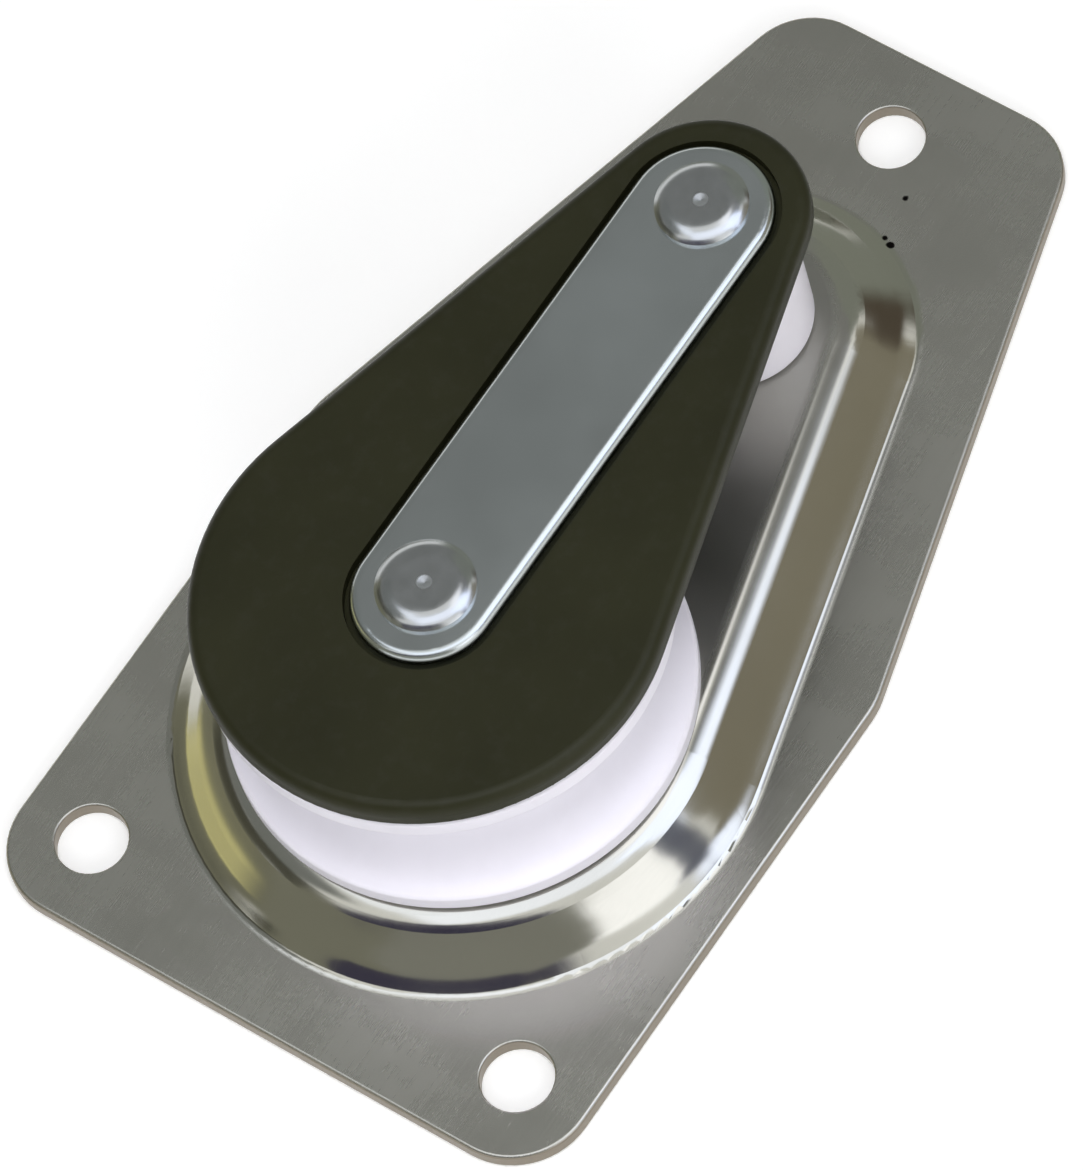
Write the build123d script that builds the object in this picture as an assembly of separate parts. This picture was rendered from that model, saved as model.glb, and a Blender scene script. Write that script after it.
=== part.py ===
from build123d import *
import math
import os

# Bolt-down block: a grooved sheave on a riveted axle between a pressed steel base plate
# and a moulded cheek with a steel strap. Millimetres.
# The origin is the centre of the plate's footprint, on its underside.
# +X points to the narrow, one-hole end and +Z points up, away from the deck.

# Base plate, blanked and pressed from one sheet
sheet_thickness = 1.8
plate_length = 117.0
plate_width = 64.8
parallel_length = 57.2
narrow_end_width = 31.9
wide_corner_radius = 7.7
waist_radius = 9.0
narrow_corner_radius = 7.0
blank_edge_radius = 0.35

# Fixing holes
wide_hole_diameter = 7.1
wide_hole_margin = 8.3
wide_hole_side_margin = 7.9
narrow_hole_diameter = 6.7
narrow_hole_margin = 8.4
hole_edge_radius = 0.2

# Flat flange left round the raised boss
wide_end_flange = 7.9
side_flange = 3.5
narrow_end_flange = 17.2

# Raised boss that carries the two rivets
boss_height = 5.0
boss_wall_run = 6.1
crown_bend_radius = 3.2
foot_bend_radius = 1.2

# Sheave
sheave_diameter = 45.0
sheave_width = 17.8
line_diameter = 12.0
groove_ease = 0.9
groove_depth = 5.4
lip_edge_radius = 0.5
hub_radius = 9.0
hub_rise = 0.3
side_play = 0.2
running_clearance = 0.05

# Axle sleeve, spacer and rivets
sleeve_diameter = 10.0
axle_shank_diameter = 6.0
axle_head_diameter = 9.6
spacer_diameter = 15.4
spacer_ledge = 3.2
spacer_edge_radius = 0.8
spacer_shank_diameter = 5.0
spacer_head_diameter = 9.0
head_height = 1.1
head_rim_height = 0.35
head_shoulder_run = 2.1
head_mark_diameter = 1.3
head_mark_depth = 0.2
tail_height = 1.4
tail_edge_radius = 0.6
rivet_clearance = 0.05

# Cheek and strap
cheek_thickness = 2.6
cheek_over_sheave = 0.2
cheek_over_spacer = 2.4
cheek_crown_radius = 1.3
cheek_lower_edge_radius = 0.3
strap_width = 14.2
strap_setback = 0.45
strap_thickness = 2.0
strap_edge_radius = 1.0
strap_recess_depth = 1.2
strap_recess_clearance = 0.6

# Teardrop ends: the boss fills the plate, the cheek covers the sheave and the spacer
boss_big_radius = plate_width / 2 - side_flange
boss_small_radius = spacer_diameter / 2 + spacer_ledge + boss_wall_run
cheek_big_radius = sheave_diameter / 2 + cheek_over_sheave
cheek_small_radius = spacer_diameter / 2 + cheek_over_spacer

# Places along the block
wide_end_x = -plate_length / 2
narrow_end_x = plate_length / 2
waist_x = wide_end_x + parallel_length
axle_x = wide_end_x + wide_end_flange + boss_big_radius
spacer_x = narrow_end_x - narrow_end_flange - boss_small_radius
rivet_spacing = spacer_x - axle_x
wide_hole_x = wide_end_x + wide_hole_margin
wide_hole_y = plate_width / 2 - wide_hole_side_margin
narrow_hole_x = narrow_end_x - narrow_hole_margin

# Heights above the underside
boss_top_z = sheet_thickness + boss_height
boss_roof_z = boss_top_z - sheet_thickness
sheave_bottom_z = boss_top_z + side_play + hub_rise
sheave_top_z = sheave_bottom_z + sheave_width
cheek_bottom_z = sheave_top_z + hub_rise + side_play
cheek_top_z = cheek_bottom_z + cheek_thickness
strap_bottom_z = cheek_top_z - strap_recess_depth
strap_top_z = strap_bottom_z + strap_thickness

# Slope of the boss wall, above the horizontal
wall_slope = math.atan2(boss_height, boss_wall_run)


def teardrop(big_radius, small_radius):
    """Outline round both rivets: two arcs joined by their common tangents."""
    tangent_turn = math.asin((big_radius - small_radius) / rivet_spacing)
    square_to_flank = (math.sin(tangent_turn), math.cos(tangent_turn))
    big_x = axle_x + big_radius * square_to_flank[0]
    big_y = big_radius * square_to_flank[1]
    small_x = spacer_x + small_radius * square_to_flank[0]
    small_y = small_radius * square_to_flank[1]
    small_end = ThreePointArc((small_x, -small_y), (spacer_x + small_radius, 0), (small_x, small_y))
    flank = Line((small_x, small_y), (big_x, big_y))
    big_end = ThreePointArc((big_x, big_y), (axle_x - big_radius, 0), (big_x, -big_y))
    far_flank = Line((big_x, -big_y), (small_x, -small_y))
    return make_face([small_end, flank, big_end, far_flank])


def post(x, y, diameter, bottom_z, top_z):
    """Upright round bar between two heights: a cutter for a hole, or the stock for a tube."""
    height = top_z - bottom_z
    standing = (Align.CENTER, Align.CENTER, Align.MIN)
    return Pos(x, y, bottom_z) * Cylinder(diameter / 2, height, align=standing)


def plate_outline():
    """Blank with a parallel wide part that flares in to the narrow end."""
    half_wide = plate_width / 2
    half_narrow = narrow_end_width / 2
    corners = [
        (wide_end_x, -half_wide),
        (waist_x, -half_wide),
        (narrow_end_x, -half_narrow),
        (narrow_end_x, half_narrow),
        (waist_x, half_wide),
        (wide_end_x, half_wide),
    ]
    blank = make_face(Polyline(corners, close=True))
    rounds = (
        (wide_end_x, wide_corner_radius),
        (waist_x, waist_radius),
        (narrow_end_x, narrow_corner_radius),
    )
    for x, radius in rounds:
        pair = [corner for corner in blank.vertices() if math.isclose(corner.X, x)]
        blank = fillet(pair, radius)
    return blank


def pressed_form(slab, floor_z, inset, foot_radius, crown_radius):
    """Slab with the boss standing on it, bent at its foot and its crown.

    The inset is how far the skin lies inside the outer one, measured square to the sheet.
    """
    foot_inset = inset * math.tan(wall_slope / 2)
    outline = teardrop(boss_big_radius - foot_inset, boss_small_radius - foot_inset)
    wall_lean = 90 - math.degrees(wall_slope)
    boss = extrude(Pos(0, 0, floor_z) * outline, boss_height, taper=wall_lean)
    form = slab + boss
    flange = form.faces().filter_by(lambda face: face.inner_wires()).sort_by(Axis.Z)[-1]
    foot = flange.inner_wires()[0].edges()
    form = form.fillet(foot_radius, foot)
    crown = form.faces().sort_by(Axis.Z)[-1].edges()
    return form.fillet(crown_radius, crown)


def make_base_plate():
    """Pressed plate: flat flange, hollow teardrop boss, three fixing holes, two rivet holes."""
    blank = extrude(plate_outline(), sheet_thickness, dir=(0, 0, 1))
    blank = fillet(blank.faces().filter_by(Axis.Z).edges(), blank_edge_radius)
    outer = pressed_form(blank, sheet_thickness, 0, foot_bend_radius, crown_bend_radius + sheet_thickness)
    depth = plate_width / 2
    below = Pos(0, 0, -depth / 2) * Box(plate_length * 2, plate_width * 2, depth)
    inner = pressed_form(below, 0, sheet_thickness, foot_bend_radius + sheet_thickness, crown_bend_radius)
    plate = outer - inner
    plate -= post(wide_hole_x, wide_hole_y, wide_hole_diameter, 0, sheet_thickness)
    plate -= post(wide_hole_x, -wide_hole_y, wide_hole_diameter, 0, sheet_thickness)
    plate -= post(narrow_hole_x, 0, narrow_hole_diameter, 0, sheet_thickness)
    fixing_rims = plate.edges().filter_by(lambda edge: edge.is_closed)
    plate = plate.fillet(hole_edge_radius, fixing_rims)
    plate -= post(axle_x, 0, rivet_hole(axle_shank_diameter), boss_roof_z, boss_top_z)
    plate -= post(spacer_x, 0, rivet_hole(spacer_shank_diameter), boss_roof_z, boss_top_z)
    return plate


def rivet_hole(shank_diameter):
    """Diameter of the hole that a rivet passes through."""
    return shank_diameter + 2 * rivet_clearance


def make_sheave():
    """Grooved wheel with a plain bore; its hub stands a little proud of its rim each side."""
    outer_radius = sheave_diameter / 2
    bore_radius = sleeve_diameter / 2 + running_clearance
    rim = Pos(bore_radius, 0) * Rectangle(
        outer_radius - bore_radius, sheave_width, align=(Align.MIN, Align.CENTER)
    )
    hub = Pos(bore_radius, 0) * Rectangle(
        hub_radius - bore_radius, sheave_width + 2 * hub_rise, align=(Align.MIN, Align.CENTER)
    )
    groove_radius = line_diameter / 2 + groove_ease
    groove_centre = outer_radius - groove_depth + groove_radius
    section = rim + hub - Pos(groove_centre, 0) * Circle(groove_radius)
    half_mouth = math.sqrt(groove_radius**2 - (groove_radius - groove_depth) ** 2)
    lip_wall = sheave_width / 2 - half_mouth
    lips = [corner for corner in section.vertices() if math.isclose(corner.X, outer_radius)]
    section = fillet(lips, min(lip_edge_radius, lip_wall / 3))
    wheel = revolve(Plane.XZ * section, Axis.Z)
    middle_z = (sheave_bottom_z + sheave_top_z) / 2
    return Pos(axle_x, 0, middle_z) * wheel


def make_axle_sleeve():
    """Tube on the axle rivet that the sheave turns on; it holds the cheek off the boss."""
    tube = post(axle_x, 0, sleeve_diameter, boss_top_z, cheek_bottom_z)
    return tube - post(axle_x, 0, rivet_hole(axle_shank_diameter), boss_top_z, cheek_bottom_z)


def make_spacer():
    """Moulded pillar on the second rivet, as long as the axle sleeve."""
    pillar = post(spacer_x, 0, spacer_diameter, boss_top_z, cheek_bottom_z)
    pillar = fillet(pillar.edges().filter_by(GeomType.CIRCLE), spacer_edge_radius)
    return pillar - post(spacer_x, 0, rivet_hole(spacer_shank_diameter), boss_top_z, cheek_bottom_z)


def make_cheek():
    """Moulded teardrop side plate with a rounded crown and a long seat for the strap."""
    blank = extrude(teardrop(cheek_big_radius, cheek_small_radius), cheek_thickness)
    blank = fillet(blank.faces().sort_by(Axis.Z)[-1].edges(), cheek_crown_radius)
    blank = fillet(blank.faces().sort_by(Axis.Z)[0].edges(), cheek_lower_edge_radius)
    cheek = Pos(0, 0, cheek_bottom_z) * blank
    cheek -= strap_blank(strap_width + 2 * strap_recess_clearance, strap_bottom_z, cheek_top_z)
    cheek -= post(axle_x, 0, rivet_hole(axle_shank_diameter), cheek_bottom_z, cheek_top_z)
    cheek -= post(spacer_x, 0, rivet_hole(spacer_shank_diameter), cheek_bottom_z, cheek_top_z)
    return cheek


def strap_blank(width, bottom_z, top_z):
    """Flat bar with round ends, set a little towards the wide end of the two rivets."""
    middle_x = (axle_x + spacer_x) / 2 - strap_setback
    outline = Pos(middle_x, 0, bottom_z) * SlotOverall(rivet_spacing + width, width)
    return extrude(outline, top_z - bottom_z)


def make_strap():
    """Steel strap that both rivet heads bear on."""
    strap = strap_blank(strap_width, strap_bottom_z, strap_top_z)
    strap = fillet(strap.faces().sort_by(Axis.Z)[-1].edges(), strap_edge_radius)
    strap -= post(axle_x, 0, rivet_hole(axle_shank_diameter), strap_bottom_z, strap_top_z)
    strap -= post(spacer_x, 0, rivet_hole(spacer_shank_diameter), strap_bottom_z, strap_top_z)
    return strap


def make_rivet(x, shank_diameter, head_diameter):
    """Rivet with a flat, round-shouldered head on the strap and a formed tail under the boss roof."""
    shank_radius = shank_diameter / 2
    head_radius = head_diameter / 2
    rim_z = strap_top_z + head_rim_height
    crown_z = strap_top_z + head_height
    mark_radius = head_mark_diameter / 2
    flat_radius = head_radius - head_shoulder_run
    tail_z = boss_roof_z - tail_height
    axle_line = Line((0, tail_z), (0, crown_z - head_mark_depth))
    mark = Line((0, crown_z - head_mark_depth), (mark_radius, crown_z))
    flat = Line((mark_radius, crown_z), (flat_radius, crown_z))
    shoulder = TangentArc((flat_radius, crown_z), (head_radius, rim_z), tangent=(1, 0))
    rim = Line((head_radius, rim_z), (head_radius, strap_top_z))
    seat = Line((head_radius, strap_top_z), (shank_radius, strap_top_z))
    shank = Line((shank_radius, strap_top_z), (shank_radius, boss_roof_z))
    tail_seat = Line((shank_radius, boss_roof_z), (head_radius, boss_roof_z))
    tail_side = Line((head_radius, boss_roof_z), (head_radius, tail_z))
    tail_face = Line((head_radius, tail_z), (0, tail_z))
    head = [axle_line, mark, flat, shoulder, rim, seat]
    section = make_face(head + [shank, tail_seat, tail_side, tail_face])
    rivet = revolve(Plane.XZ * section, Axis.Z)
    tail_rim = rivet.faces().sort_by(Axis.Z)[0].edges()
    rivet = fillet(tail_rim, tail_edge_radius)
    return Pos(x, 0, 0) * rivet


pieces = {
    "base_plate": make_base_plate(),
    "sheave": make_sheave(),
    "axle_sleeve": make_axle_sleeve(),
    "spacer": make_spacer(),
    "cheek": make_cheek(),
    "strap": make_strap(),
    "axle_rivet": make_rivet(axle_x, axle_shank_diameter, axle_head_diameter),
    "spacer_rivet": make_rivet(spacer_x, spacer_shank_diameter, spacer_head_diameter),
}

os.makedirs("parts", exist_ok=True)
for name, piece in pieces.items():
    export_step(piece, os.path.join("parts", name + ".step"))
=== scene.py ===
import math
from typing import NamedTuple

import bpy
from bpy.props import FloatProperty, FloatVectorProperty, PointerProperty
from bpy.types import PropertyGroup
from mathutils import Euler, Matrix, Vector


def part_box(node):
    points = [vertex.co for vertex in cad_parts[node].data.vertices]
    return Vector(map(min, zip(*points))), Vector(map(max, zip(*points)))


bl_info = {
    "name": "Bolt-down block",
    "version": (1, 0, 0),
    "blender": (4, 5, 0),
    "location": "3D View > Sidebar > Block",
    "description": "Dresses a riveted deck block and sets it on a studio floor",
    "category": "Object",
}

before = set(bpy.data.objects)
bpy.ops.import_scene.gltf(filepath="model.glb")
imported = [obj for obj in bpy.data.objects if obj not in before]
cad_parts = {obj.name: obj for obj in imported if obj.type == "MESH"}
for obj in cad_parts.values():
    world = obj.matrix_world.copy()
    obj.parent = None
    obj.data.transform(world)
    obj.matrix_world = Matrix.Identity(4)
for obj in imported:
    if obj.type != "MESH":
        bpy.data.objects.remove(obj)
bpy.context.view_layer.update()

MM = 0.001
PER_MM = 1 / MM

# Heights on the base plate, in millimetres above its underside
FLANGE_TOP = 1.8
BOSS_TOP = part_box("base_plate")[1].z / MM

# Soft sweeps of the boss's wall into the flange and the crown, in millimetres: how far each runs
# up or down the wall, how far it would run on past the wall's end, and how deep it is
FOOT_RUN, FOOT_PAST, FOOT_DEPTH = 1.6, 0.4, 0.29
CROWN_RUN, CROWN_PAST, CROWN_DEPTH = 2.6, 0.1, 0.20

# The polish starts at the foot of the boss and is full this far above the flange
POLISH_RISE = 0.12

# The boss's flat table starts this far below its highest point, and is full this far below it
TABLE_START, TABLE_REACHED = 0.2, 0.05

# The sheared edge's painted shade, extra roughness and streaks are full this far below the flange's top
EDGE_DROP = 0.08

# How far up a surface faces, from 1 flat to 0 upright: where each kind of surface starts and is full
FLANGE_FROM, FLANGE_FULL = 0.990, 0.9995
TABLE_FROM, TABLE_FULL = 0.985, 0.999
EDGE_FROM, EDGE_FULL = 0.97, 0.5

# Specks of dirt on the flange at the narrow end: x, y and radius, how ragged and how soft, in millimetres
SPECKS = ((45.2, -4.9, 0.16), (40.6, -5.6, 0.20), (40.2, -6.5, 0.28))
SPECK_RAGGED, SPECK_SOFT = 0.35, 0.12

DIRT = (0.012, 0.010, 0.010)
# Painted shade and painted reflection: a darker, browner colour for the sheared edge, standing in for the
# dark edge where the steel mirrors shadowed floor
SHEARED_EDGE_PAINTED_SHADE = (0.23, 0.195, 0.15)
RUBBED_PLASTIC = (0.06, 0.06, 0.055)

# The centre mark of a rivet head is rough out to this radius, in millimetres, and blends out beyond it
MARK_RADIUS, MARK_BLEND = 0.6, 0.8

# Nearly all of a noise lies between these
NOISE_LOW, NOISE_HIGH = 0.3, 0.7

# The colour sockets of a Mix node, which has others of the same names
MIX_FIRST, MIX_SECOND, MIX_RESULT = 6, 7, 2


# Settings

def colour_setting(name, description, default):
    """A colour that the sidebar shows as a swatch."""
    return FloatVectorProperty(
        name=name, description=description, default=default, subtype="COLOR", min=0, max=1
    )


def factor_setting(name, description, default):
    """A plain number from 0 to 1."""
    return FloatProperty(
        name=name, description=description, default=default, subtype="FACTOR", min=0, max=1
    )


class SteelSettings(PropertyGroup):
    """Colour and polish of the pressed plate, the strap, the rivets and the sleeve."""

    plate_colour: colour_setting("Plate", "Stainless sheet of the base plate", (0.55, 0.545, 0.485))
    strap_colour: colour_setting("Strap", "Rolled strip of the strap", (0.56, 0.60, 0.595))
    rivet_colour: colour_setting("Rivets", "Formed rivet heads and tails", (0.52, 0.54, 0.54))
    sleeve_colour: colour_setting("Sleeve", "Turned axle sleeve", (0.52, 0.52, 0.53))
    flange_roughness: factor_setting("Flange", "Roughness of the flat rolled sheet", 0.27)
    boss_roughness: factor_setting("Boss", "Roughness where the press has polished the boss", 0.12)
    strap_roughness: factor_setting("Strip", "Roughness of the strap", 0.21)
    rivet_roughness: factor_setting("Heads", "Roughness of the rivet heads", 0.18)
    sleeve_roughness: factor_setting("Turning", "Roughness of the turned sleeve", 0.2)


class PlasticSettings(PropertyGroup):
    """Colour and gloss of the moulded pieces."""

    cheek_colour: colour_setting("Cheek", "Near-black moulded cheek", (0.0195, 0.0200, 0.0075))
    sheave_colour: colour_setting("Sheave", "White moulded sheave", (0.87, 0.85, 0.93))
    spacer_colour: colour_setting("Spacer", "White moulded spacer", (0.93, 0.90, 0.97))
    cheek_roughness: factor_setting("Cheek gloss", "Roughness of the cheek", 0.42)
    white_roughness: factor_setting("White gloss", "Roughness of the sheave and the spacer", 0.34)


class StudioSettings(PropertyGroup):
    """Floor, lamps and camera."""

    floor_colour: colour_setting("Floor", "Plain pale floor", (0.90, 0.90, 0.90))
    ambient: FloatProperty(name="Ambient", description="Soft light from all sides", default=0.45, min=0)
    overhead_power: FloatProperty(
        name="Overhead", description="Power of the overhead softbox", default=3.2, min=0, unit="POWER"
    )
    front_power: FloatProperty(
        name="Front", description="Power of the soft front lamp", default=3.0, min=0, unit="POWER"
    )
    lens: FloatProperty(name="Lens", description="Focal length", default=360.3, min=1, unit="CAMERA")


# Materials

def shade(colour, factor):
    """The same colour, lighter or darker."""
    return tuple(min(1.0, channel * factor) for channel in colour)


class Nodes:
    """A shader tree under construction. Every step gives back the socket that holds its result."""

    def __init__(self, tree):
        self.tree = tree

    def add(self, kind, **settings):
        """A new node of that kind, with its settings."""
        node = self.tree.nodes.new("ShaderNode" + kind)
        for name, value in settings.items():
            setattr(node, name, value)
        return node

    def feed(self, socket, value):
        """Links an output to a socket, or sets a plain value on it."""
        if isinstance(value, bpy.types.NodeSocket):
            self.tree.links.new(value, socket)
        else:
            socket.default_value = value

    def number(self, operation, *values):
        """One step of arithmetic."""
        node = self.add("Math", operation=operation)
        for socket, value in zip(node.inputs, values):
            self.feed(socket, value)
        return node.outputs["Value"]

    def plus(self, first, second):
        return self.number("ADD", first, second)

    def less(self, first, second):
        return self.number("SUBTRACT", first, second)

    def times(self, first, second):
        return self.number("MULTIPLY", first, second)

    def span(self, value, low, high, to_low=0.0, to_high=1.0, smooth=False):
        """Maps low..high of a value to to_low..to_high, and holds it there outside."""
        node = self.add("MapRange", interpolation_type="SMOOTHSTEP" if smooth else "LINEAR")
        self.feed(node.inputs["Value"], value)
        self.feed(node.inputs["From Min"], low)
        self.feed(node.inputs["From Max"], high)
        self.feed(node.inputs["To Min"], to_low)
        self.feed(node.inputs["To Max"], to_high)
        return node.outputs["Result"]

    def parts(self, vector):
        """The X, Y and Z of a vector."""
        node = self.add("SeparateXYZ")
        self.feed(node.inputs[0], vector)
        return node.outputs

    def seen_directly(self):
        """1 for rays from the camera, from mirrors and through glass, 0 for rays that gather soft light."""
        path = self.add("LightPath").outputs
        looked_at = self.plus(path["Is Camera Ray"], path["Is Glossy Ray"])
        every = self.add("Math", operation="ADD", use_clamp=True)
        self.feed(every.inputs[0], looked_at)
        self.feed(every.inputs[1], path["Is Transmission Ray"])
        return every.outputs["Value"]

    def choose(self, share, first, second):
        """Mixes two shaders."""
        node = self.add("MixShader")
        self.feed(node.inputs[0], share)
        self.feed(node.inputs[1], first)
        self.feed(node.inputs[2], second)
        return node.outputs["Shader"]


class Finish(Nodes):
    """A material under construction. Patterns are laid out in millimetres on the piece."""

    def __init__(self, name):
        self.material = bpy.data.materials.new(name)
        self.material.use_nodes = True
        super().__init__(self.material.node_tree)
        self.shader = self.tree.nodes["Principled BSDF"]
        to_millimetres = self.add("VectorMath", operation="SCALE")
        to_millimetres.inputs["Scale"].default_value = PER_MM
        self.feed(to_millimetres.inputs[0], self.add("TexCoord").outputs["Object"])
        self.place = to_millimetres.outputs["Vector"]
        self.relief = None

    def facing_up(self):
        """1 where the surface faces straight up, 0 where it stands upright, -1 underneath."""
        return self.parts(self.add("TexCoord").outputs["Normal"])["Z"]

    def stretched(self, stretch, turn=0.0):
        """Places stretched along the axes, for grain, streaks and scratches."""
        node = self.add("Mapping")
        node.inputs["Rotation"].default_value = (0, 0, math.radians(turn))
        node.inputs["Scale"].default_value = stretch
        self.feed(node.inputs["Vector"], self.place)
        return node.outputs["Vector"]

    def distance_to(self, point):
        """How far away a point of the piece is, in millimetres."""
        node = self.add("VectorMath", operation="DISTANCE")
        self.feed(node.inputs[0], self.place)
        self.feed(node.inputs[1], point)
        return node.outputs["Value"]

    def noise(self, scale, detail=3.0, roughness=0.5, place=None):
        """Cloudy noise from about 0.3 to 0.7: scale is in swings a millimetre."""
        node = self.add("TexNoise")
        node.inputs["Scale"].default_value = scale
        node.inputs["Detail"].default_value = detail
        node.inputs["Roughness"].default_value = roughness
        self.feed(node.inputs["Vector"], place or self.place)
        return node.outputs["Fac"]

    def spread(self, noise, low=0.0, high=1.0):
        """Spreads a noise over low..high."""
        return self.span(noise, NOISE_LOW, NOISE_HIGH, low, high)

    def blend(self, share, first, second):
        """Mixes two colours."""
        node = self.add("Mix", data_type="RGBA")
        self.feed(node.inputs["Factor"], share)
        self.feed(node.inputs[MIX_FIRST], first if isinstance(first, bpy.types.NodeSocket) else (*first, 1))
        self.feed(node.inputs[MIX_SECOND], (*second, 1))
        return node.outputs[MIX_RESULT]

    def mottled(self, pattern, colour, darker, lighter):
        """One colour that a pattern from 0 to 1 varies from a darker to a lighter shade of it."""
        return self.blend(pattern, shade(colour, darker), shade(colour, lighter))

    def raise_by(self, height, millimetres):
        """Adds relief: the height's full swing is that many millimetres deep."""
        node = self.add("Bump")
        node.inputs["Distance"].default_value = millimetres * MM
        node.inputs["Strength"].default_value = 1.0
        self.feed(node.inputs["Height"], height)
        if self.relief is not None:
            self.feed(node.inputs["Normal"], self.relief)
        self.relief = node.outputs["Normal"]

    def done(self, colour, roughness, **fixed):
        """Joins the pattern to the shader and gives the material back."""
        self.feed(self.shader.inputs["Base Color"], colour)
        self.feed(self.shader.inputs["Roughness"], roughness)
        if self.relief is not None:
            self.feed(self.shader.inputs["Normal"], self.relief)
        for name, value in fixed.items():
            self.shader.inputs[name.replace("_", " ")].default_value = value
        return self.material


def dress(node_name, material):
    """Puts a material on a piece of the block."""
    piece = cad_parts[node_name]
    piece.data.materials.clear()
    piece.data.materials.append(material)


def middle_x(node_name):
    """Where a round piece's axis stands along the block, in millimetres."""
    low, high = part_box(node_name)
    return (low.x + high.x) / 2 / MM


def with_specks(finish, colour):
    """The colour, with a few ragged specks of dirt on the flange."""
    ragged = finish.times(finish.noise(scale=1.3, detail=2), SPECK_RAGGED)
    for speck_x, speck_y, radius in SPECKS:
        away = finish.less(finish.distance_to((speck_x, speck_y, FLANGE_TOP)), ragged)
        colour = finish.blend(finish.span(away, radius, radius - SPECK_SOFT), colour, DIRT)
    return colour


def add_sweeps(finish, height):
    """Rounds the boss's wall softly into the flange and the crown, beyond the pressing's own bends."""
    above_flange = finish.number("MAXIMUM", height, FLANGE_TOP)
    foot = finish.span(above_flange, FLANGE_TOP + FOOT_RUN, FLANGE_TOP - FOOT_PAST, smooth=True)
    crown = finish.span(height, BOSS_TOP + CROWN_PAST, BOSS_TOP - CROWN_RUN, smooth=True)
    finish.raise_by(foot, FOOT_DEPTH)
    finish.raise_by(crown, CROWN_DEPTH)


def plate_finish(settings):
    """Rolled stainless sheet: satin flange, polished boss, sheared edges and a few specks of dirt, with
    painted shade on the sheared edges and on the boss's flat table.
    """
    finish = Finish("rolled_sheet")
    height = finish.parts(finish.place)["Z"]
    facing_up = finish.facing_up()
    grain = finish.noise(scale=1.0, detail=4, roughness=0.65, place=finish.stretched((0.10, 5.0, 5.0)))
    cloud = finish.noise(scale=0.045)
    smear_place = finish.stretched((1.0, 0.6, 1.0), turn=25)
    smear = finish.noise(scale=0.11, detail=4, roughness=0.6, place=smear_place)
    scratch_place = finish.stretched((0.09, 9.0, 1.0), turn=-38)
    scratch = finish.noise(scale=0.9, detail=1, roughness=0.4, place=scratch_place)
    streaks = finish.noise(scale=1.0, detail=3, roughness=0.7, place=finish.stretched((4.0, 4.0, 0.4)))

    # Where the boss, the level flange, the sheared edge and the boss's flat table are
    boss = finish.span(height, FLANGE_TOP, FLANGE_TOP + POLISH_RISE, smooth=True)
    sheet = finish.less(1.0, boss)
    flange = finish.times(sheet, finish.span(facing_up, FLANGE_FROM, FLANGE_FULL))
    upright = finish.less(1.0, finish.span(finish.number("ABSOLUTE", facing_up), EDGE_FULL, EDGE_FROM))
    edge = finish.times(upright, finish.span(height, FLANGE_TOP, FLANGE_TOP - EDGE_DROP))
    table = finish.times(
        finish.span(facing_up, TABLE_FROM, TABLE_FULL),
        finish.span(height, BOSS_TOP - TABLE_START, BOSS_TOP - TABLE_REACHED),
    )
    thin_scratch = finish.times(finish.span(scratch, 0.79, 0.86), flange)

    tone = finish.span(finish.plus(finish.times(grain, 0.35), cloud), 0.40, 0.95)
    colour = finish.mottled(tone, settings.plate_colour, 0.94, 1.06)
    # Painted shade and painted reflection on the sheared edge; its extra roughness and streaks further down
    # are its own
    colour = finish.blend(finish.times(edge, 0.9), colour, SHEARED_EDGE_PAINTED_SHADE)
    # Painted shade: the boss's flat table is made darker to dim the white spacer that it mirrors
    colour = finish.blend(table, colour, shade(settings.plate_colour, 0.75))
    colour = with_specks(finish, colour)

    rolled = settings.flange_roughness
    sheet_roughness = finish.plus(
        finish.span(smear, 0.35, 0.75, rolled - 0.03, rolled + 0.05), finish.spread(grain, -0.02, 0.02)
    )
    drawn = settings.boss_roughness
    boss_roughness = finish.plus(
        finish.span(smear, 0.3, 0.8, drawn - 0.02, drawn + 0.04), finish.times(table, 0.2)
    )
    roughness = finish.plus(finish.times(sheet_roughness, sheet), finish.times(boss_roughness, boss))
    roughness = finish.plus(roughness, finish.times(edge, 0.12))
    roughness = finish.plus(roughness, finish.times(thin_scratch, 0.05))

    add_sweeps(finish, height)
    finish.raise_by(finish.times(grain, flange), 0.004)
    finish.raise_by(finish.times(thin_scratch, -1.0), 0.002)
    finish.raise_by(finish.times(streaks, edge), 0.02)
    return finish.done(colour, roughness, Metallic=1.0)


def strip_finish(settings):
    """Rolled strip: fine grain along its length and a few handling marks."""
    finish = Finish("rolled_strip")
    grain = finish.noise(scale=1.0, detail=4, roughness=0.65, place=finish.stretched((0.12, 7.0, 7.0)))
    cloud = finish.noise(scale=0.09)
    mark_place = finish.stretched((0.15, 8.0, 1.0), turn=22)
    mark = finish.noise(scale=0.8, detail=1, roughness=0.4, place=mark_place)
    mark = finish.span(mark, 0.73, 0.80)
    tone = finish.span(finish.plus(finish.times(grain, 0.3), cloud), 0.4, 0.9)
    colour = finish.mottled(tone, settings.strap_colour, 0.95, 1.05)
    level = settings.strap_roughness
    roughness = finish.plus(finish.spread(cloud, level - 0.03, level + 0.03), finish.times(mark, 0.05))
    finish.raise_by(grain, 0.005)
    finish.raise_by(finish.times(mark, -1.0), 0.002)
    return finish.done(colour, roughness, Metallic=1.0)


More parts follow.
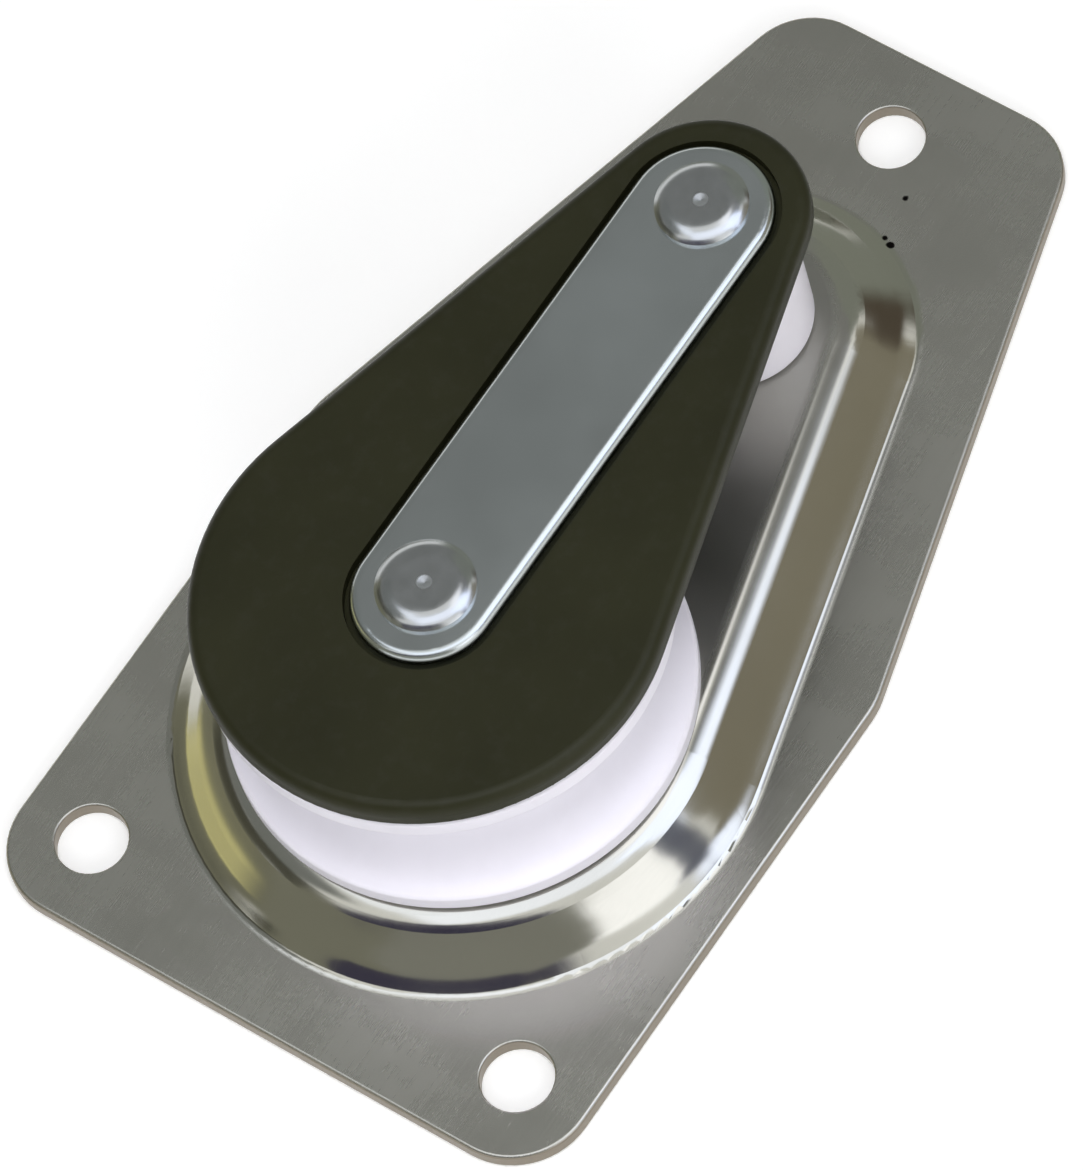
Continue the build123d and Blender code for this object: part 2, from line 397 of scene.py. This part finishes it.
def formed_finish(name, base, level, centre_x):
    """Formed or turned steel: fine rings round an upright axis, dull at the centre mark."""
    finish = Finish(name)
    place = finish.parts(finish.place)
    across = finish.less(place["X"], centre_x)
    radius = finish.number(
        "SQRT", finish.plus(finish.times(across, across), finish.times(place["Y"], place["Y"]))
    )
    ring_place = finish.add("CombineXYZ")
    finish.feed(ring_place.inputs["X"], radius)
    finish.feed(ring_place.inputs["Z"], place["Z"])
    rings = finish.noise(scale=7.0, detail=2, place=ring_place.outputs["Vector"])
    cloud = finish.noise(scale=0.5, roughness=0.6)
    colour = finish.mottled(finish.spread(cloud), base, 0.96, 1.04)
    roughness = finish.spread(cloud, level - 0.02, level + 0.04)
    roughness = finish.plus(roughness, finish.span(radius, MARK_BLEND, MARK_RADIUS, 0.0, 0.3))
    finish.raise_by(rings, 0.004)
    finish.raise_by(cloud, 0.003)
    return finish.done(colour, roughness, Metallic=1.0)


def cheek_finish(settings):
    """Moulded near-black plastic with a fine spark-eroded texture and rubbed places."""
    finish = Finish("moulded_cheek")
    texture = finish.noise(scale=5.5, detail=2)
    cloud = finish.noise(scale=0.06)
    rub = finish.span(finish.noise(scale=0.5, detail=4, roughness=0.7), 0.5, 0.8)
    colour = finish.mottled(finish.spread(cloud), settings.cheek_colour, 0.88, 1.15)
    colour = finish.blend(finish.times(rub, 0.10), colour, RUBBED_PLASTIC)
    level = settings.cheek_roughness
    finish.raise_by(texture, 0.008)
    return finish.done(colour, finish.spread(cloud, level - 0.04, level + 0.04), Specular_IOR_Level=0.22)


def white_finish(name, base, level):
    """White moulded plastic: faint flow marks and a fine skin."""
    finish = Finish(name)
    flow = finish.noise(scale=0.12, detail=4, roughness=0.55, place=finish.stretched((1, 1, 0.4)))
    skin = finish.noise(scale=6.0, detail=2)
    colour = finish.mottled(finish.spread(flow), base, 0.965, 1.02)
    finish.raise_by(skin, 0.003)
    return finish.done(colour, finish.spread(flow, level - 0.03, level + 0.04), Specular_IOR_Level=0.4)


# Stage

FLOOR_REACH = 6.0
FLOOR_DROP = 0.00002
FLOOR_GLOW = 0.22

# A card on the floor lies this far above it, clear of the floor's own surface
CARD_LIFT = 0.0003

# The photograph's viewpoint, fitted to the block's outlines: place in metres, turn in radians
CAMERA_PLACE = (-0.34457, -0.40960, 0.97040)
CAMERA_TURN = (0.480572, 0.154214, -0.973485)
SENSOR_WIDTH = 36
VIEW_NEAR, VIEW_FAR = 0.05, 20


class Card(NamedTuple):
    """A toned card that only steel and gloss mirror, in degrees and metres.

    It stands off at an azimuth, anticlockwise from +X, and an elevation above the floor, and faces the
    block. It fades out over that share of its half size. A turn rolls it anticlockwise as seen from
    behind, towards the block.
    """

    name: str
    azimuth: float
    elevation: float
    distance: float
    width: float
    height: float
    colour: tuple
    fade: float = 0.3
    turn: float = 0.0


CARDS = (
    # Greys behind the block for its flat faces, and round the narrow end for the boss's wall there
    Card("grey_back", 52, 46, 0.92, 2.20, 1.15, (0.25, 0.255, 0.252), 0.2),
    Card("grey_left", 112, 51, 0.90, 0.80, 0.44, (0.23, 0.24, 0.235)),
    Card("grey_high", -14, 57, 0.90, 0.50, 0.28, (0.25, 0.25, 0.25)),
    Card("grey_narrow", -1, 38, 0.88, 0.66, 0.66, (0.26, 0.275, 0.245)),
    Card("grey_end", -8, 8, 0.86, 1.60, 0.56, (0.27, 0.285, 0.25)),
    # Bright lines along the crown and the foot, and the bright patch on the wall
    Card("bright_zenith", -132, 75, 0.85, 0.84, 0.40, (1.50, 1.55, 1.75)),
    Card("bright_left", 130, 70, 0.85, 0.42, 0.22, (1.40, 1.45, 1.60), 0.4),
    Card("bright_edge", -29, 73, 0.85, 0.42, 0.20, (1.70, 1.70, 1.80)),
    Card("bright_right", -58, 54, 0.84, 0.44, 0.52, (1.72, 1.85, 2.30), 0.25),
    Card("bright_front", -97, 37, 0.84, 0.50, 0.34, (1.75, 1.75, 1.85), 0.35),
    # Tones for the rest of the boss's wall
    Card("smudge", -77, 36, 0.80, 0.17, 0.30, (0.14, 0.15, 0.21), 0.35),
    Card("mid_front", -152, 36, 0.83, 1.06, 0.50, (0.285, 0.285, 0.255), 0.2),
    Card("purple_front", -176, 49.5, 0.80, 1.16, 0.18, (0.055, 0.050, 0.090), 0.3, 21),
    Card("olive_end", 158, 31, 0.835, 0.56, 0.44, (0.25, 0.248, 0.20)),
    Card("olive_left", 124, 13, 0.84, 1.30, 0.62, (0.22, 0.217, 0.165), 0.25),
    Card("dark_left", 122, 33, 0.81, 0.96, 0.19, (0.08, 0.078, 0.06), 0.4, 25),
    Card("yellow_left", 116, 10.3, 0.78, 0.80, 0.10, (0.80, 0.745, 0.36), 0.5, 27),
    Card("brown_right", -47, 27, 0.80, 0.54, 0.46, (0.29, 0.265, 0.205), 0.2),
    Card("dark_end", -25, 17, 0.79, 0.46, 0.38, (0.10, 0.08, 0.06), 0.65),
)


def in_scene(thing):
    """Adds an object to the scene."""
    bpy.context.scene.collection.objects.link(thing)
    return thing


def set_facing(thing, azimuth, elevation, distance):
    """Stands a lamp or card off in a direction, turned towards the block."""
    round_z, up = math.radians(azimuth), math.radians(elevation)
    out = Vector((math.cos(round_z) * math.cos(up), math.sin(round_z) * math.cos(up), math.sin(up)))
    thing.location = out * distance
    thing.rotation_euler = out.to_track_quat("Z", "Y").to_euler()


def make_sheet(name, width, height):
    """A flat rectangle round its own middle."""
    x, y = width / 2, height / 2
    mesh = bpy.data.meshes.new(name)
    mesh.from_pydata([(-x, -y, 0), (x, -y, 0), (x, y, 0), (-x, y, 0)], [], [(0, 1, 2, 3)])
    sheet = in_scene(bpy.data.objects.new(name, mesh))
    return sheet


def card_surface(name, width, height, colour, fade):
    """Glows in one tone over the middle of a card and clears smoothly towards its edges."""
    material = bpy.data.materials.new(name)
    material.use_nodes = True
    material.node_tree.nodes.clear()
    nodes = Nodes(material.node_tree)
    place = nodes.parts(nodes.add("TexCoord").outputs["Object"])
    inside = []
    for axis, half in (("X", width / 2), ("Y", height / 2)):
        away = nodes.number("ABSOLUTE", place[axis])
        inside.append(nodes.span(away, half, half * (1 - fade), smooth=True))
    glow = nodes.add("Emission")
    glow.inputs["Color"].default_value = (*colour, 1)
    clear = nodes.add("BsdfTransparent")
    surface = nodes.choose(nodes.times(*inside), clear.outputs["BSDF"], glow.outputs["Emission"])
    nodes.feed(nodes.add("OutputMaterial").inputs["Surface"], surface)
    return material


def make_card(name, width, height, colour, fade):
    """A card that only steel and gloss mirror."""
    sheet = make_sheet(name, width, height)
    sheet.data.materials.append(card_surface(name, width, height, colour, fade))
    sheet.visible_camera = False
    sheet.visible_diffuse = False
    sheet.visible_shadow = False
    sheet.visible_transmission = False
    return sheet


def hang_card(card):
    """Stands a card off in its direction, facing the block."""
    sheet = make_card(card.name, card.width, card.height, card.colour, card.fade)
    set_facing(sheet, card.azimuth, card.elevation, card.distance)
    sheet.rotation_euler.rotate_axis("Z", math.radians(card.turn))


def lay_card(name, x, y, width, height, colour, fade):
    """Lays a card flat on the floor."""
    sheet = make_card(name, width, height, colour, fade)
    sheet.location = (x, y, CARD_LIFT)


def add_lamp(name, azimuth, elevation, distance, width, height, power):
    """A soft white lamp that the steel doesn't mirror."""
    light = bpy.data.lights.new(name, "AREA")
    light.shape = "RECTANGLE"
    light.size, light.size_y = width, height
    light.energy = power
    lamp = in_scene(bpy.data.objects.new(name, light))
    set_facing(lamp, azimuth, elevation, distance)
    lamp.visible_camera = False
    lamp.visible_glossy = False


def make_world(ambient):
    """White to the eye and in mirrors, softer as light."""
    world = bpy.data.worlds.new("studio")
    bpy.context.scene.world = world
    world.use_nodes = True
    world.node_tree.nodes.clear()
    nodes = Nodes(world.node_tree)
    soft, white = nodes.add("Background"), nodes.add("Background")
    soft.inputs["Strength"].default_value = ambient
    for background in (soft, white):
        background.inputs["Color"].default_value = (1, 1, 1, 1)
    surface = nodes.choose(
        nodes.seen_directly(), soft.outputs["Background"], white.outputs["Background"]
    )
    nodes.feed(nodes.add("OutputWorld").inputs["Surface"], surface)


def make_floor(settings):
    """A plain pale floor, wide enough to fill the view, just under the plate."""
    floor = make_sheet("floor", 2 * FLOOR_REACH, 2 * FLOOR_REACH)
    floor.location.z = -FLOOR_DROP
    finish = Finish("pale_floor")
    colour = finish.mottled(finish.noise(scale=0.02, detail=2), settings.floor_colour, 1.0, 1.01)
    finish.done(colour, 0.9, Specular_IOR_Level=0.1)
    finish.shader.inputs["Emission Color"].default_value = (1, 1, 1, 1)
    glow = finish.times(finish.seen_directly(), FLOOR_GLOW)
    finish.feed(finish.shader.inputs["Emission Strength"], glow)
    floor.data.materials.append(finish.material)


def make_camera(focal_length):
    """Looks at the block from the photograph's viewpoint."""
    lens = bpy.data.cameras.new("camera")
    lens.lens = focal_length
    lens.sensor_width = SENSOR_WIDTH
    lens.clip_start, lens.clip_end = VIEW_NEAR, VIEW_FAR
    camera = in_scene(bpy.data.objects.new("camera", lens))
    camera.location = CAMERA_PLACE
    camera.rotation_euler = Euler(CAMERA_TURN)
    bpy.context.scene.camera = camera


# Steps

class BLOCK_OT_base_plate(bpy.types.Operator):
    """Finish the pressed base plate as rolled stainless sheet"""

    bl_idname = "block.base_plate"
    bl_label = "Base plate"

    def execute(self, context):
        dress("base_plate", plate_finish(context.scene.block_steel))
        return {"FINISHED"}


class BLOCK_OT_sheave(bpy.types.Operator):
    """Finish the moulded sheave"""

    bl_idname = "block.sheave"
    bl_label = "Sheave"

    def execute(self, context):
        plastic = context.scene.block_plastic
        material = white_finish("moulded_sheave", plastic.sheave_colour, plastic.white_roughness)
        dress("sheave", material)
        return {"FINISHED"}


class BLOCK_OT_posts(bpy.types.Operator):
    """Finish the moulded spacer and the turned axle sleeve"""

    bl_idname = "block.posts"
    bl_label = "Spacer and sleeve"

    def execute(self, context):
        plastic = context.scene.block_plastic
        steel = context.scene.block_steel
        moulded = white_finish("moulded_spacer", plastic.spacer_colour, plastic.white_roughness)
        dress("spacer", moulded)
        turned = formed_finish(
            "turned_sleeve", steel.sleeve_colour, steel.sleeve_roughness, middle_x("axle_sleeve")
        )
        dress("axle_sleeve", turned)
        return {"FINISHED"}


class BLOCK_OT_cheek(bpy.types.Operator):
    """Finish the moulded cheek"""

    bl_idname = "block.cheek"
    bl_label = "Cheek"

    def execute(self, context):
        dress("cheek", cheek_finish(context.scene.block_plastic))
        return {"FINISHED"}


class BLOCK_OT_strap(bpy.types.Operator):
    """Finish the steel strap"""

    bl_idname = "block.strap"
    bl_label = "Strap"

    def execute(self, context):
        dress("strap", strip_finish(context.scene.block_steel))
        return {"FINISHED"}


class BLOCK_OT_rivets(bpy.types.Operator):
    """Finish both rivets as formed steel"""

    bl_idname = "block.rivets"
    bl_label = "Rivets"

    def execute(self, context):
        steel = context.scene.block_steel
        for node_name in ("axle_rivet", "spacer_rivet"):
            formed = formed_finish(
                "formed_" + node_name, steel.rivet_colour, steel.rivet_roughness, middle_x(node_name)
            )
            dress(node_name, formed)
        return {"FINISHED"}


class BLOCK_OT_stage(bpy.types.Operator):
    """Set the floor, the soft lamps, the toned cards and the camera"""

    bl_idname = "block.stage"
    bl_label = "Stage"

    def execute(self, context):
        studio = context.scene.block_studio
        make_world(studio.ambient)
        make_floor(studio)
        add_lamp(
            "overhead_softbox", azimuth=-128, elevation=78, distance=0.85,
            width=0.36, height=0.30, power=studio.overhead_power,
        )
        add_lamp(
            "front_lamp", azimuth=-128, elevation=28, distance=1.0,
            width=0.7, height=0.5, power=studio.front_power,
        )
        for card in CARDS:
            hang_card(card)
        lay_card(
            "grey_floor", x=0.46, y=0.06, width=0.82, height=0.90, colour=(0.26, 0.275, 0.245), fade=0.15
        )
        make_camera(studio.lens)
        context.scene.view_settings.view_transform = "Standard"
        return {"FINISHED"}


STEPS = (
    BLOCK_OT_base_plate, BLOCK_OT_sheave, BLOCK_OT_posts, BLOCK_OT_cheek,
    BLOCK_OT_strap, BLOCK_OT_rivets, BLOCK_OT_stage,
)
SETTINGS = {"block_steel": SteelSettings, "block_plastic": PlasticSettings, "block_studio": StudioSettings}


class VIEW3D_PT_block(bpy.types.Panel):
    """Lists the settings and the steps that dress the block"""

    bl_space_type = "VIEW_3D"
    bl_region_type = "UI"
    bl_category = "Block"
    bl_label = "Bolt-down block"

    def draw(self, context):
        for place in SETTINGS:
            group = getattr(context.scene, place)
            box = self.layout.box()
            for name in group.__annotations__:
                box.prop(group, name)
        for step in STEPS:
            self.layout.operator(step.bl_idname)


def register():
    for place, group in SETTINGS.items():
        bpy.utils.register_class(group)
        setattr(bpy.types.Scene, place, PointerProperty(type=group))
    for step in STEPS:
        bpy.utils.register_class(step)
    bpy.utils.register_class(VIEW3D_PT_block)


def unregister():
    bpy.utils.unregister_class(VIEW3D_PT_block)
    for step in reversed(STEPS):
        bpy.utils.unregister_class(step)
    for place, group in reversed(SETTINGS.items()):
        delattr(bpy.types.Scene, place)
        bpy.utils.unregister_class(group)


def main():
    """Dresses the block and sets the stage."""
    register()
    bpy.ops.block.base_plate()
    bpy.ops.block.sheave()
    bpy.ops.block.posts()
    bpy.ops.block.cheek()
    bpy.ops.block.strap()
    bpy.ops.block.rivets()
    bpy.ops.block.stage()


if __name__ == "__main__":
    main()
